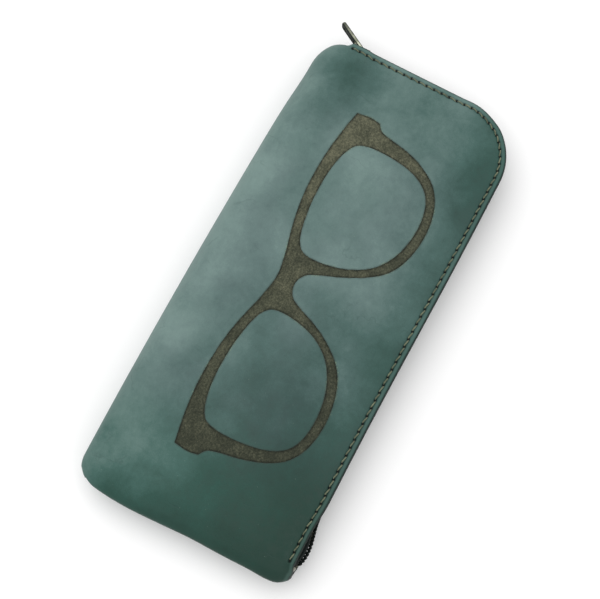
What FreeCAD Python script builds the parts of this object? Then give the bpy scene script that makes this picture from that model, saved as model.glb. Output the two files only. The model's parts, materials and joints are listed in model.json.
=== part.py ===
"""A slim zipped leather pouch for spectacles, lying on its back.

Frame: millimetres. +X runs along the pouch to the end where the closed slider parks, +Y to the folded long side,
+Z up out of the front panel. The origin is on the table, under the middle of the back panel.
One piece of leather is folded along +Y, closed by a turned seam at -X, and closed by a coil zipper that runs
from the +X end, round one large corner, down the -Y side. A thin leaf inside divides it into two pockets.
The front's free corner is a flap of its own, hinged on the line between the two ends of the zipper.
"""
import FreeCAD
import Part
import math
import os

V = FreeCAD.Vector

# ---- driving dimensions ----
HALF_LENGTH = 94.0        # seam end to slider end is twice this
ZIP_SIDE_Y = -41.4        # cut edges of the long zipped side
FOLD_Y = 42.0             # outermost line of the fold
ZIP_CORNER_R = 25.0       # corner that the zipper runs round
SLIDER_FOLD_R = 11.0      # corner of the fold at the slider end
SEAM_FOLD_R = 9.0         # corner of the fold at the seam end
SEAM_ZIP_R = 5.0          # corner of the seam at the end of the zipper
LEATHER = 1.8             # thickness of the leather
MID_Z = 10.0              # height of the zipper's centre line above the table
FRONT_CROWN = 10.8        # front panel above the centre line, at its middle
BACK_CROWN = 10.15        # back panel below the centre line, before the table flattens it
SLOT_HALF = 3.7           # half of the gap between the two cut edges
SEAM_HALF = 2.5           # half thickness of the turned seam
MARGIN = 4.5              # flat sewn margin along the zipper
RISE = 26.0               # width over which the panels swell from the margin to the crown
SEAM_PINCH = 6.0          # length over which the seam end closes at its edges
BODY_PINCH = 26.0         # length over which the seam end closes at the middle
FOLD_BOW = 1.1            # how much further out the fold stands at mid-length than at its ends

COIL_INSET = 0.9          # coil centre line inside the cut edges
COIL_THICK = 1.3
COIL_WIDE = 1.8           # one side's row of coil
COIL_GAP = 0.3            # from the centre plane to each row
TAPE = 0.4                # thickness of the zipper tape
TAPE_IN = 7.0             # how far the tape reaches in under the leather
TAPE_UNDER = 0.15         # gap between the leather and the tape
ZIP_TOP_Y = 31.8          # end of the zipper beside the parked slider
ZIP_END_X = -87.0         # far end of the zipper
BULGE = 2.0               # how far the last stretch of the zipper bows out
BULGE_FROM_X = -60.0
STOP_LONG = 1.8           # metal stops at the zipper's ends
CLEAR = 0.05

STITCH_PITCH = 3.1
STITCH_IN = 2.45          # stitch line inside the cut edge
STITCH_LONG = 2.3
THREAD_R = 0.3

SLIDER_LONG = 8.0
SLIDER_WIDE = 6.4
SLIDER_WIDE_INSIDE = 4.7  # the plate behind the tape, which passes between the rows of stitches
SLIDER_Y = 25.3           # middle of the parked slider
PLATE = 0.9               # thickness of each slider plate
CHANNEL = 0.12            # clearance of the coil inside the slider
POST_THICK = 0.4          # the post between the plates, which passes between the two rows
CROWN_HIGH = 1.3          # crown above the outer plate
CROWN_WALL = 0.4
CROWN_LONG = 5.2
CROWN_WIDE = 2.0
CROWN_Y = 0.6             # middle of the crown, from the slider's middle towards the stops
PULL_AXIS_Y = 2.1         # pull tab's bar, from the slider's middle towards the stops
PULL_AXIS_HIGH = 0.55     # pull tab's bar above the outer plate
PULL_BAR_R = 0.3
PULL_ANGLE = 24.5         # parked pull tab, out from the line of the zipper
PULL_LONG = 12.3
PULL_WIDE = 4.4
PULL_THICK = 1.0          # at its arms
GRIP_THICK = 1.7
GRIP_FROM = 4.4           # where the thicker grip begins, from the bar
WINDOW_LONG = 3.4
WINDOW_WIDE = 2.5
EYE_R = 1.1

DIVIDER = 1.0             # thickness of the divider leaf
DIVIDER_SEAM_IN = 1.4     # how deep the turned seam holds it
DIVIDER_ZIP_IN = 9.0      # its free edges, inside the zipped outline
DIVIDER_FOLD_IN = 4.2     # its edge inside the fold

# ---- hinge line of the flap, over the two ends of the zipper ----
HINGE_Z = MID_Z + FRONT_CROWN + 0.3
HINGE_SLIDER_END = V(HALF_LENGTH, 18.0, HINGE_Z)
HINGE_SEAM_END = V(-83.0, ZIP_SIDE_Y, HINGE_Z)
KERF = 0.3                # gap between flap and shell along the hinge line

CORNER_X = HALF_LENGTH - ZIP_CORNER_R
CORNER_Y = ZIP_SIDE_Y + ZIP_CORNER_R


def clamp(value, low=0.0, high=1.0):
    return max(low, min(high, value))


def smooth(t):
    t = clamp(t)
    return t * t * (3 - 2 * t)


def quarter(t):
    """A quarter of a circle rising from 0 to 1."""
    return math.sqrt(1 - (1 - clamp(t)) ** 2)


# ---- the pouch's form ----
def zip_depth(x, y):
    """Distance inward from the zipped outline."""
    if x > CORNER_X and y < CORNER_Y:
        return ZIP_CORNER_R - math.hypot(x - CORNER_X, y - CORNER_Y)
    return min(HALF_LENGTH - x, y - ZIP_SIDE_Y)


def half_height(x, y, crown, inset):
    """Height of a panel's surface over the centre plane, inset by the leather's thickness or by nothing."""
    from_seam = x + HALF_LENGTH - inset
    edge = SLOT_HALF + LEATHER - inset
    seam = SEAM_HALF - 0.9 * inset
    edge_here = seam + (edge - seam) * quarter(from_seam / SEAM_PINCH)
    swell = (crown - SLOT_HALF - LEATHER) * smooth((zip_depth(x, y) - MARGIN) / RISE)
    return edge_here + swell * quarter(from_seam / BODY_PINCH)


def fold_y(x, inset):
    return FOLD_Y - FOLD_BOW * (x / HALF_LENGTH) ** 2 - inset


def panel_curve(x, crown, side, inset):
    """One panel's section at x, from outside the zipped edge to the outermost line of the fold."""
    y_out = ZIP_SIDE_Y - 4
    y_fold = fold_y(x, inset)
    radius = half_height(x, y_fold - crown, crown, inset)
    y_round = y_fold - radius
    steps = 17
    points = []
    for i in range(steps):
        y = y_out + (y_round - y_out) * i / (steps - 1)
        points.append(V(x, y, MID_Z + side * half_height(x, y, crown, inset)))
    for degrees in (18, 36, 54, 72, 90):
        a = math.radians(degrees)
        drop = half_height(x, y_round, crown, inset) * math.cos(a)
        points.append(V(x, y_round + radius * math.sin(a), MID_Z + side * drop))
    curve = Part.BSplineCurve()
    curve.interpolate(points)
    return curve.toShape(), points


def body_loft(stations, inset):
    wires = []
    for x in stations:
        front, front_points = panel_curve(x, FRONT_CROWN, 1, inset)
        back, back_points = panel_curve(x, BACK_CROWN, -1, inset)
        edge = Part.LineSegment(back_points[0], front_points[0]).toShape()
        wires.append(Part.Wire(Part.__sortEdges__([front, back, edge])))
    return Part.makeLoft(wires, True, False)


def outline(seam_in, zip_in, fold_in):
    """The pouch's plan outline on z = 0, moved inward at the seam, the zipped sides and the fold."""
    x0, x1 = -HALF_LENGTH + seam_in, HALF_LENGTH - zip_in
    y0, y1 = ZIP_SIDE_Y + zip_in, FOLD_Y + 1 - fold_in
    corners = [
        (x0, y0, 1, 1, SEAM_ZIP_R - seam_in),
        (x1, y0, -1, 1, ZIP_CORNER_R - zip_in),
        (x1, y1, -1, -1, SLIDER_FOLD_R - fold_in),
        (x0, y1, 1, -1, SEAM_FOLD_R - fold_in),
    ]
    arcs = []
    for x, y, sx, sy, r in corners:
        centre = V(x + sx * r, y + sy * r, 0)
        ends = [V(x, y + sy * r, 0), V(x + sx * r, y, 0)]
        if sx * sy < 0:
            ends.reverse()
        middle = centre + V(-sx, -sy, 0) * (r / math.sqrt(2))
        arcs.append((ends[0], middle, ends[1]))
    edges = []
    for i, (start, middle, end) in enumerate(arcs):
        edges.append(Part.Arc(start, middle, end).toShape())
        edges.append(Part.LineSegment(end, arcs[(i + 1) % 4][0]).toShape())
    return Part.Wire(Part.__sortEdges__(edges))


def plan_prism(wire, z0, z1):
    face = Part.Face(wire)
    face.translate(V(0, 0, z0))
    return face.extrude(V(0, 0, z1 - z0))


# ---- the zipper's route in plan ----
def bulge_at(x):
    """Outward bow of the zipper's last stretch."""
    if x > BULGE_FROM_X:
        return 0.0
    span = BULGE_FROM_X - (ZIP_END_X - 2)
    return BULGE * math.sin(math.pi * clamp((BULGE_FROM_X - x) / span)) ** 2


def zip_route(inset, top_y=ZIP_TOP_Y, end_x=ZIP_END_X):
    """Points and outward normals along the zipper, from beside the slider to the seam end."""
    r = ZIP_CORNER_R - inset
    route = [(V(HALF_LENGTH - inset, top_y, 0), V(1, 0, 0))]
    for i in range(13):
        a = math.radians(-7.5 * i)
        n = V(math.cos(a), math.sin(a), 0)
        route.append((V(CORNER_X, CORNER_Y, 0) + n * r, n))
    route.append((V(BULGE_FROM_X, ZIP_SIDE_Y + inset, 0), V(0, -1, 0)))
    count = 12
    for i in range(1, count + 1):
        x = BULGE_FROM_X + (end_x - BULGE_FROM_X) * i / count
        slope = (bulge_at(x + 0.1) - bulge_at(x - 0.1)) / 0.2
        n = V(-slope, -1, 0).normalize()
        route.append((V(x, ZIP_SIDE_Y + inset - bulge_at(x), 0), n))
    return route


def route_edges(route, offset):
    """Line, arc, line and spline that run along the route, moved outward by offset."""
    p = [point + normal * offset for point, normal in route]
    edges = [
        Part.LineSegment(p[0], p[1]).toShape(),
        Part.Arc(p[1], p[7], p[13]).toShape(),
        Part.LineSegment(p[13], p[14]).toShape(),
    ]
    tail = Part.BSplineCurve()
    tail.interpolate(p[14:])
    return edges + [tail.toShape()], p


def band(route, outer, inner, z0, z1):
    """A strip that follows the route, between two offsets in plan and two heights."""
    out_edges, out_points = route_edges(route, outer)
    in_edges, in_points = route_edges(route, inner)
    ends = [Part.LineSegment(out_points[i], in_points[i]).toShape() for i in (0, -1)]
    return plan_prism(Part.Wire(Part.__sortEdges__(out_edges + in_edges + ends)), z0, z1)


# ---- cutting by the hinge line ----
def hinge_directions():
    """Along the hinge line, and square to it in plan towards the flap's free edge."""
    along = HINGE_SEAM_END - HINGE_SLIDER_END
    along.normalize()
    return along, V(-along.y, along.x, 0)


def flap_side(gap):
    """A tall block over the flap's side of the hinge line, gap further from it."""
    along, away = hinge_directions()
    start = HINGE_SLIDER_END - along * 60 + away * gap
    end = HINGE_SEAM_END + along * 60 + away * gap
    corners = [start, end, end + away * 160, start + away * 160]
    face = Part.Face(Part.makePolygon([V(c.x, c.y, 0) for c in corners + corners[:1]]))
    return face.extrude(V(0, 0, 60))


def flap_part(shape):
    return shape.common(flap_side(KERF / 2))


def fixed_part(shape):
    return shape.cut(flap_side(-KERF / 2))


# ---- leather ----
def make_leather():
    outer_x = [-94.6, -93.4, -91.6, -89.0, -85.5, -81, -75, -68, -55, -25, 15, 45, 60, 70, 78, 84, 88, 91, 97]
    inner_x = [-92.1, -91.0, -89.0, -85.5, -81, -75, -68, -55, -25, 15, 45, 60, 70, 78, 84, 88, 91, 97]
    outer = body_loft(outer_x, 0.0).common(plan_prism(outline(0, 0, 0), 0, 40))
    void = body_loft(inner_x, LEATHER).common(plan_prism(outline(LEATHER, LEATHER, LEATHER), LEATHER, 40))
    slot_route = zip_route(0.0, ZIP_TOP_Y + 0.6, ZIP_END_X - 0.8)
    slot = band(slot_route, 4.0, -LEATHER - 0.6 - BULGE, MID_Z - SLOT_HALF, MID_Z + SLOT_HALF)
    shell = outer.cut(void).cut(slot)
    upper = Part.makeBox(300, 200, 40, V(-150, -100, MID_Z))
    shell_upper = shell.common(upper)
    shell_lower = shell.cut(upper)
    flap = flap_part(shell_upper)
    body = shell_lower.fuse(fixed_part(shell_upper)).removeSplitter()
    return body, flap


def make_divider():
    """A leaf between the two pockets, held in the turned seam and free towards the zipper."""
    wire = outline(DIVIDER_SEAM_IN, DIVIDER_ZIP_IN, DIVIDER_FOLD_IN)
    return plan_prism(wire, MID_Z - DIVIDER / 2, MID_Z + DIVIDER / 2)


# ---- zipper ----
def make_tape(side):
    """An L-shaped tape: upright behind the coil, then turned in under the leather's margin."""
    route = zip_route(COIL_INSET)
    face_out = -COIL_THICK / 2 - CLEAR
    top = SLOT_HALF - TAPE_UNDER
    spans = [(COIL_GAP, top), (top - TAPE, top)]
    depths = [(face_out, face_out - TAPE), (face_out, face_out - TAPE_IN)]
    pieces = []
    for (low, high), (outer, inner) in zip(spans, depths):
        z0, z1 = sorted((MID_Z + side * low, MID_Z + side * high))
        pieces.append(band(route, outer, inner, z0, z1))
    return pieces[0].fuse(pieces[1]).removeSplitter()


def make_coil(side):
    route = zip_route(COIL_INSET, ZIP_TOP_Y - STOP_LONG - 0.4, ZIP_END_X + STOP_LONG + 0.4)
    z0, z1 = sorted((MID_Z + side * COIL_GAP, MID_Z + side * (COIL_GAP + COIL_WIDE)))
    return band(route, COIL_THICK / 2, -COIL_THICK / 2, z0, z1)


def make_top_stop(side):
    """A crimped metal stop over the end of one row of coil."""
    x = HALF_LENGTH - COIL_INSET
    z0, z1 = sorted((MID_Z + side * COIL_GAP, MID_Z + side * (COIL_GAP + COIL_WIDE)))
    block = Part.makeBox(COIL_THICK, STOP_LONG, z1 - z0, V(x - COIL_THICK / 2, ZIP_TOP_Y - STOP_LONG - 0.4, z0))
    return block.makeFillet(0.3, [e for e in block.Edges if abs(e.tangentAt(e.FirstParameter).y) > 0.9])


def make_bottom_stop():
    """A crimped metal stop that holds both rows together at the far end."""
    normal = zip_route(COIL_INSET)[-2][1]
    wide = 2 * (COIL_GAP + COIL_WIDE)
    block = Part.makeBox(STOP_LONG, COIL_THICK, wide, V(-STOP_LONG / 2, -COIL_THICK / 2, -wide / 2))
    block = block.makeFillet(0.3, [e for e in block.Edges if abs(e.tangentAt(e.FirstParameter).x) > 0.9])
    angle = math.degrees(math.atan2(normal.x, -normal.y))
    block.rotate(V(0, 0, 0), V(0, 0, 1), angle)
    x = ZIP_END_X + STOP_LONG / 2 + 0.3
    block.translate(V(x, ZIP_SIDE_Y + COIL_INSET - bulge_at(x), MID_Z))
    return block


# ---- slider and pull tab, built along Y at the origin with +X outward, then put in place ----
CHANNEL_OUT = COIL_THICK / 2 + CHANNEL
CHANNEL_IN = -CHANNEL_OUT - TAPE - 2 * CLEAR
PLATE_FACE = CHANNEL_OUT + PLATE


def slider_place(shape):
    shape.translate(V(HALF_LENGTH - COIL_INSET, SLIDER_Y, MID_Z))
    return shape


def rounded_block(size, centre, radius, direction):
    """A block with its edges along one direction rounded."""
    block = Part.makeBox(*size, V(*[c - s / 2 for c, s in zip(centre, size)]))
    k = "xyz".index(direction)
    edges = [e for e in block.Edges if abs(e.tangentAt(e.FirstParameter)[k]) > 0.9]
    return block.makeFillet(radius, edges)


def make_slider_body():
    """Two plates joined by a post at the end that faces the stops, with flanges that hold the coil."""
    outer = rounded_block((PLATE, SLIDER_LONG, SLIDER_WIDE), (CHANNEL_OUT + PLATE / 2, 0, 0), 1.6, "x")
    inner = rounded_block((PLATE, SLIDER_LONG, SLIDER_WIDE_INSIDE), (CHANNEL_IN - PLATE / 2, 0, 0), 1.6, "x")
    depth = CHANNEL_OUT - CHANNEL_IN + 2 * CLEAR
    post = Part.makeBox(depth, 1.9, POST_THICK, V(CHANNEL_IN - CLEAR, 2.0, -POST_THICK / 2))
    body = outer.fuse([inner, post])
    edge = COIL_GAP + COIL_WIDE + CHANNEL
    high = SLIDER_WIDE / 2 - edge
    for z0 in (edge, -edge - high):
        flange = Part.makeBox(CHANNEL_OUT + 0.4, SLIDER_LONG - 3.4, high, V(-0.2, -SLIDER_LONG / 2 + 1.4, z0))
        body = body.fuse(flange)
    return slider_place(body.removeSplitter())


def make_crown():
    """The bridge over the outer plate that the pull tab hangs on."""
    block = rounded_block((CROWN_HIGH * 2, CROWN_LONG, CROWN_WIDE), (PLATE_FACE, CROWN_Y, 0), 0.9, "z")
    room = (2 * (CROWN_HIGH - CROWN_WALL), CROWN_LONG - 2 * CROWN_WALL, CROWN_WIDE + 2)
    tunnel = rounded_block(room, (PLATE_FACE, CROWN_Y, 0), 0.5, "z")
    below = Part.makeBox(CROWN_HIGH * 2, 20, 20, V(PLATE_FACE - 2 * CROWN_HIGH, -10, -10))
    return slider_place(block.cut(tunnel).cut(below))


def make_lock_spring():
    """The leaf spring inside the crown, whose end drops between the coil's turns."""
    return slider_place(Part.makeBox(0.15, 2.6, 1.1, V(PLATE_FACE, -1.2, -0.55)))


def make_pull():
    """A flat tab with a window at its root, whose bar passes through the crown."""
    thick, wide = PULL_THICK, PULL_WIDE
    arms = Part.makeBox(thick, GRIP_FROM + 1, wide, V(-thick / 2, 0, -wide / 2))
    root = Part.makeCylinder(thick / 2, wide, V(0, 0, -wide / 2), V(0, 0, 1))
    window = Part.makeBox(thick * 2, WINDOW_LONG + thick, WINDOW_WIDE, V(-thick, -thick, -WINDOW_WIDE / 2))
    bar = Part.makeCylinder(PULL_BAR_R, wide - 0.4, V(0, 0, 0.2 - wide / 2), V(0, 0, 1))
    grip = Part.makeBox(GRIP_THICK, PULL_LONG - GRIP_FROM, wide, V(-GRIP_THICK / 2, GRIP_FROM, -wide / 2))
    grip = grip.makeFillet(1.5, [e for e in grip.Edges
                                 if abs(e.tangentAt(e.FirstParameter).x) > 0.9 and e.CenterOfMass.y > GRIP_FROM + 1])
    eye = Part.makeCylinder(EYE_R, 5, V(-2.5, PULL_LONG - 3.0, 0), V(1, 0, 0))
    tab = arms.fuse(root).cut(window).fuse([bar, grip]).cut(eye).removeSplitter()
    tab.rotate(V(0, 0, 0), V(0, 0, 1), -PULL_ANGLE)
    tab.translate(V(PLATE_FACE + PULL_AXIS_HIGH, PULL_AXIS_Y, 0))
    return slider_place(tab)


# ---- threads ----
def stitch_points():
    """Middle and direction of every stitch along the zipper, from the slider end to the seam end."""
    inset = STITCH_IN
    r = ZIP_CORNER_R - inset
    end_run = ZIP_TOP_Y - 2 - CORNER_Y
    corner_run = r * math.pi / 2
    side_run = CORNER_X - (-HALF_LENGTH + 4.5)
    count = int((end_run + corner_run + side_run) / STITCH_PITCH)
    stitches = []
    for i in range(count):
        s = (i + 0.5) * STITCH_PITCH
        if s < end_run:
            stitches.append((V(HALF_LENGTH - inset, ZIP_TOP_Y - 2 - s, 0), V(0, -1, 0)))
        elif s < end_run + corner_run:
            a = -(s - end_run) / r
            n = V(math.cos(a), math.sin(a), 0)
            stitches.append((V(CORNER_X, CORNER_Y, 0) + n * r, V(n.y, -n.x, 0)))
        else:
            x = CORNER_X - (s - end_run - corner_run)
            stitches.append((V(x, ZIP_SIDE_Y + inset, 0), V(-1, 0, 0)))
    return stitches


def thread_row(stitches, height):
    """One short length of thread for each stitch, at a height found from its place."""
    solids = []
    for point, direction in stitches:
        z = height(point)
        start = V(point.x, point.y, z) - direction * (STITCH_LONG / 2)
        solids.append(Part.makeCylinder(THREAD_R, STITCH_LONG, start, direction))
    return Part.makeCompound(solids)


def on_leather(side):
    crown = FRONT_CROWN if side > 0 else BACK_CROWN
    return lambda p: MID_Z + side * (half_height(p.x, p.y, crown, 0.0) + 0.12)


def under_tape(side):
    return lambda p: MID_Z + side * (SLOT_HALF - TAPE_UNDER - TAPE - THREAD_R - CLEAR)


def hinge_distance(point):
    """Distance from the hinge line in plan, positive on the flap's side."""
    from_line = V(point.x - HINGE_SLIDER_END.x, point.y - HINGE_SLIDER_END.y, 0)
    return from_line.dot(hinge_directions()[1])


def split_stitches(stitches):
    """Stitches wholly on the flap and wholly on the shell: one that would cross the hinge line is left out."""
    clear = KERF / 2 + THREAD_R
    moving, still = [], []
    for point, direction in stitches:
        half = direction * (STITCH_LONG / 2)
        ends = [hinge_distance(point - half), hinge_distance(point + half)]
        if min(ends) > clear:
            moving.append((point, direction))
        elif max(ends) < -clear:
            still.append((point, direction))
    return moving, still


def make_seam_thread():
    """The hidden stitches that hold the turned seam together."""
    solids = []
    y = ZIP_SIDE_Y + 7
    while y < FOLD_Y - 9:
        for side in (-1, 1):
            z = MID_Z + side * 0.9
            solids.append(Part.makeCylinder(THREAD_R, STITCH_LONG, V(-HALF_LENGTH + 0.9, y, z), V(0, 1, 0)))
        y += STITCH_PITCH
    return Part.makeCompound(solids)


def main():
    os.makedirs("parts", exist_ok=True)
    body, flap = make_leather()
    divider = make_divider()
    parts = {
        "leather_shell": body.cut(divider),
        "front_flap": flap,
        "divider_leaf": divider,
        "bottom_stop": make_bottom_stop(),
        "slider_body": make_slider_body(),
        "slider_crown": make_crown(),
        "slider_lock_spring": make_lock_spring(),
        "pull_tab": make_pull(),
        "seam_thread": make_seam_thread(),
    }
    for side, name in ((1, "front"), (-1, "back")):
        parts[f"top_stop_{name}"] = make_top_stop(side)
    for kind, make in (("zip_tape", make_tape), ("zip_coil", make_coil)):
        parts[f"{kind}_back"] = make(-1)
        front = make(1)
        parts[f"{kind}_front"] = flap_part(front)
        parts[f"{kind}_front_ends"] = fixed_part(front)
    stitches = stitch_points()
    moving, still = split_stitches(stitches)
    for kind, height in (("needle_thread", on_leather), ("bobbin_thread", under_tape)):
        parts[f"{kind}_front"] = thread_row(moving, height(1))
        parts[f"{kind}_front_ends"] = thread_row(still, height(1))
        parts[f"{kind}_back"] = thread_row(stitches, height(-1))
    for name, shape in parts.items():
        shape.exportStep(f"parts/{name}.step")
        print(f"{name:26s} solids {len(shape.Solids):3d} valid {shape.isValid()} volume {shape.Volume:10.1f}")


main()
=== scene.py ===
"""The zipped leather spectacle pouch: looks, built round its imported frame.

Geometry is worked out in millimetres and scaled when a mesh is made. The pouch is a pillow over a plan outline:
heights are counted from the zipper's centre plane, +1 for the front side and -1 for the back.
"""

import json
import math

import bpy
import numpy as np
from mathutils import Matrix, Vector
from mathutils.geometry import delaunay_2d_cdt


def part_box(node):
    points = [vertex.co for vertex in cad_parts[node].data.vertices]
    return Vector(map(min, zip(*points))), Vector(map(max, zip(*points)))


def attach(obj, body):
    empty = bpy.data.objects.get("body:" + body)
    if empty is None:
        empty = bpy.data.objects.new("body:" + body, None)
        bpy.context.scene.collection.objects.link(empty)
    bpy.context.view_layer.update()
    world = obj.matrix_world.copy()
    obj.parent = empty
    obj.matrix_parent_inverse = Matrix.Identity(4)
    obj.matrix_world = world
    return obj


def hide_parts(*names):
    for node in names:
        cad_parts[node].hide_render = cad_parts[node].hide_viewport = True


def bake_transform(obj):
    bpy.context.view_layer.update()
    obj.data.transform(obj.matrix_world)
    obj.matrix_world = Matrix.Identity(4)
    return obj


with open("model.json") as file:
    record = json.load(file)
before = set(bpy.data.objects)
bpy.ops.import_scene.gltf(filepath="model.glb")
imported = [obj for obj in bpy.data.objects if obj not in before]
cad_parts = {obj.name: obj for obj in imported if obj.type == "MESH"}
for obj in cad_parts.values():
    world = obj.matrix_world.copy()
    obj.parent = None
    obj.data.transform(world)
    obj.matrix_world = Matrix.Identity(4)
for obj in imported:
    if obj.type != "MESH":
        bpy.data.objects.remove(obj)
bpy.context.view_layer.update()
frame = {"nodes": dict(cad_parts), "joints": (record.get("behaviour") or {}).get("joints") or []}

MM = 0.001


def node_box(node):
    """Lowest and highest corners of a CAD node, in millimetres."""
    low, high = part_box(node)
    return np.array(low) / MM, np.array(high) / MM


# ---- sizes read from the frame ----
SHELL_LOW, SHELL_HIGH = node_box("leather_shell")
COIL_BACK_LOW = node_box("zip_coil_back")[0]
COIL_FRONT_HIGH = node_box("zip_coil_front")[1]
DIVIDER_LOW, DIVIDER_HIGH = node_box("divider_leaf")
HALF_LENGTH = SHELL_HIGH[0]
ZIP_SIDE_Y = SHELL_LOW[1]
MID_Z = (COIL_BACK_LOW[2] + COIL_FRONT_HIGH[2]) / 2
WAVE_ROOM = 0.25          # kept under the top of the CAD box for waves of the front
FRONT_CROWN = max(SHELL_HIGH[2], node_box("front_flap")[1][2]) - MID_Z - WAVE_ROOM
BACK_CROWN = MID_Z

# ---- form, in millimetres ----
SIDES = ((1, "front"), (-1, "back"))
LEATHER = 1.8
SLOT_HALF = 3.7           # cut edges from the centre plane
EDGE = SLOT_HALF + LEATHER
SEAM_EDGE = 3.2           # half thickness beside the turned seam
SEAM_RUN = 12.0           # length over which the seam end thins
SEAM_SWELL = 40.0         # length over which the body swells from the seam end
MARGIN = 4.5              # flat margin along the zipper
RISE = 28.0               # width over which the body swells from the margin
DOME = ((6, 94, 0.5), (6, 36, 0.9))  # along x and y: the crown's centre, half width, and fall at that distance
BACK_SAG = 0.35           # how far the back would hang below the table
BACK_WAVES = 0.12         # how strongly the front's waves show in the back
PRESSED = 0.3             # height over which the back turns flat on the table
CORNERS = {               # centre and half axes of the outline's four round corners
    "slider_fold": (81.0, 31.0, 13.0, 10.0),
    "seam_fold": (-85.0, 32.5, 9.0, 8.3),
    "seam_zip": (-88.8, -36.2, 4.6, 5.2),
    "zip": (70.7, -18.1, 23.3, 23.3),
}
FOLD_BOW = 1.35           # how far the middle of the fold stands out
OUTLINE_STEP = 0.25       # spacing of the outline's points
# Small bulges and hollows of the plan outline: centre and width along the side, and change along x or y
FOLD_HUMPS = ((76, 12, -0.6),)
SEAM_HUMPS = ((20, 9, -0.3), (-4, 9, 0.25), (36, 6, 0.55), (-6, 12, 0.25), (-34, 5, -0.5))
END_HUMPS = ((34, 4, -0.35),)
END_STEP = 0.35           # how far in the middle of the slider's end lies
END_SLANT = 0.012         # of the slider's end, across the pouch
ZIP_SIDE_WAVE = 0.28      # height of the long zipped side's slow wave
LIP_BACK = 0.8            # how far the cut edges lie back where the zipper bows out
SLIT_TOP_Y = 32.2         # where the cut edges part beside the slider
SLIT_END_X = -87.8        # where they meet again
SLIT_CLOSE = 3.0          # length over which they do so
SIDE_ROWS_RUN = 6.0       # length over which the margin's rows turn into the rounded side's

STITCH_PITCH = 3.1
STITCH_IN = 2.25          # depth of the stitch line from the cut edge
STITCH_FROM = 3.0         # first hole, from the slit's end beside the slider
STITCH_UNTIL = 1.0        # last hole, from the slit's other end
COLUMNS_PER_STITCH = 10
SOFT_STEP = 1.0           # spacing of columns round the folded and seamed sides
HOLE_R = 0.56             # radius of a stitch hole's soft edge
HOLE_DEEP = 0.6
GROOVE_DEEP, GROOVE_WIDE = 0.2, 0.55            # where the thread pulls the leather in
PUFF_HIGH, PUFF_IN, PUFF_WIDE = 0.16, 1.25, 0.6  # the swelling between the stitches and the cut edge
BEVEL_DEEP, BEVEL_WIDE = 0.5, 0.75              # the rounded cut edge
VALLEY_DEEP, VALLEY_WIDE = 1.1, 0.8             # the turned seam's valley
MARGIN_ROWS = (           # depths of the rows from the cut edge, close together beside the stitch line
    0, 0.1, 0.25, 0.45, 0.7, 1.0, 1.35, 1.65, 1.88, 2.06, 2.22, 2.36, 2.5, 2.65, 2.82, 3.0, 3.2, 3.45, 3.75,
)
LOWER_ROWS = 14           # rows round the lower half of the fold

SEAM_STITCH_IN = 0.75     # depth of the turned seam's hidden stitches
COIL_INSET = 0.9          # of the coil's middle from the cut edge
BULGE = 2.0               # how far the zipper's last stretch bows out past the leather
BULGE_FROM_X = -60.0      # where it begins
BULGE_END_X = SLIT_END_X - 1.0
BULGE_SKEW = 1.6          # moves the bow's peak towards its end
LIP_RUN = 14.0            # length over which the cut edges come to lie back
TUCK = 0.135              # how far the zipped side's underside leans inward, per millimetre down
TUCK_FROM = (-74.0, -22.0)  # x and y where the lean begins
TUCK_RUN = 14.0           # length over which it grows to all of it

ENGRAVED = 0.28           # depth of the engraving
ENGRAVED_WALL = 0.2       # width of its sloping wall


def smooth(t):
    t = np.clip(t, 0.0, 1.0)
    return t * t * (3 - 2 * t)


def humps(t, table):
    """Soft rises about their centres, summed."""
    return sum(change * np.exp(-(((t - centre) / width) ** 2)) for centre, width, change in table)


def unit(vectors):
    """Rows scaled to length 1."""
    return vectors / np.linalg.norm(vectors, axis=1)[:, None]


def run_of(points):
    """Distances run along a line of points."""
    return np.concatenate([[0], np.cumsum(np.linalg.norm(np.diff(points, axis=0), axis=1))])


def blocks(index, size):
    """Indices in blocks, small enough for a table of distances each."""
    return np.array_split(index, max(1, len(index) // size))


def sampled(at, run, values):
    """Rows of values along a line, read at the given distances run."""
    return np.column_stack([np.interp(at, run, column) for column in values.T])


def zip_depth(x, y):
    """Distance inward from the zipped sides of the outline."""
    cx, cy, radius, _ = CORNERS["zip"]
    corner = radius - np.hypot(x - cx, y - cy)
    straight = np.minimum(HALF_LENGTH - x, y - ZIP_SIDE_Y)
    return np.where((x > cx) & (y < cy), corner, straight)


# Soft dents of the front: centre, half widths, turn in degrees, and height change
DENTS = (
    (82, 25, 9, 12, 10, -1.25), (66, -22, 17, 9, -40, -0.45), (-66, 14, 22, 8, 24, -0.75),
    (-76, -14, 9, 20, 12, -0.5), (-40, 30, 26, 5, 4, 0.3), (12, -33, 30, 6, 2, -0.3),
    (-84, 26, 8, 8, 0, 0.35), (35, 34, 20, 4, -3, -0.25), (-30, -30, 18, 8, -8, 0.25),
)
# Long waves of the leather: wavelength, direction in degrees, phase and height
WAVES = (
    (71, 20, 0.4, 0.16), (53, 105, 2.1, 0.14), (37, 65, 4.0, 0.09), (29, -30, 1.2, 0.06),
    (21, 140, 5.0, 0.035),
)


def turned(x, y, degrees):
    """Distances along and across a direction."""
    a = math.radians(degrees)
    return x * math.cos(a) + y * math.sin(a), -x * math.sin(a) + y * math.cos(a)


def undulation(x, y):
    return sum(
        rise * np.sin(2 * math.pi * turned(x, y, turn)[0] / length + phase) for length, turn, phase, rise in WAVES
    )


def dents(x, y):
    total = 0
    for cx, cy, wide, high, turn, change in DENTS:
        u, v = turned(x - cx, y - cy, turn)
        total = total + change * np.exp(-((u / wide) ** 2) - (v / high) ** 2)
    return total


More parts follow.
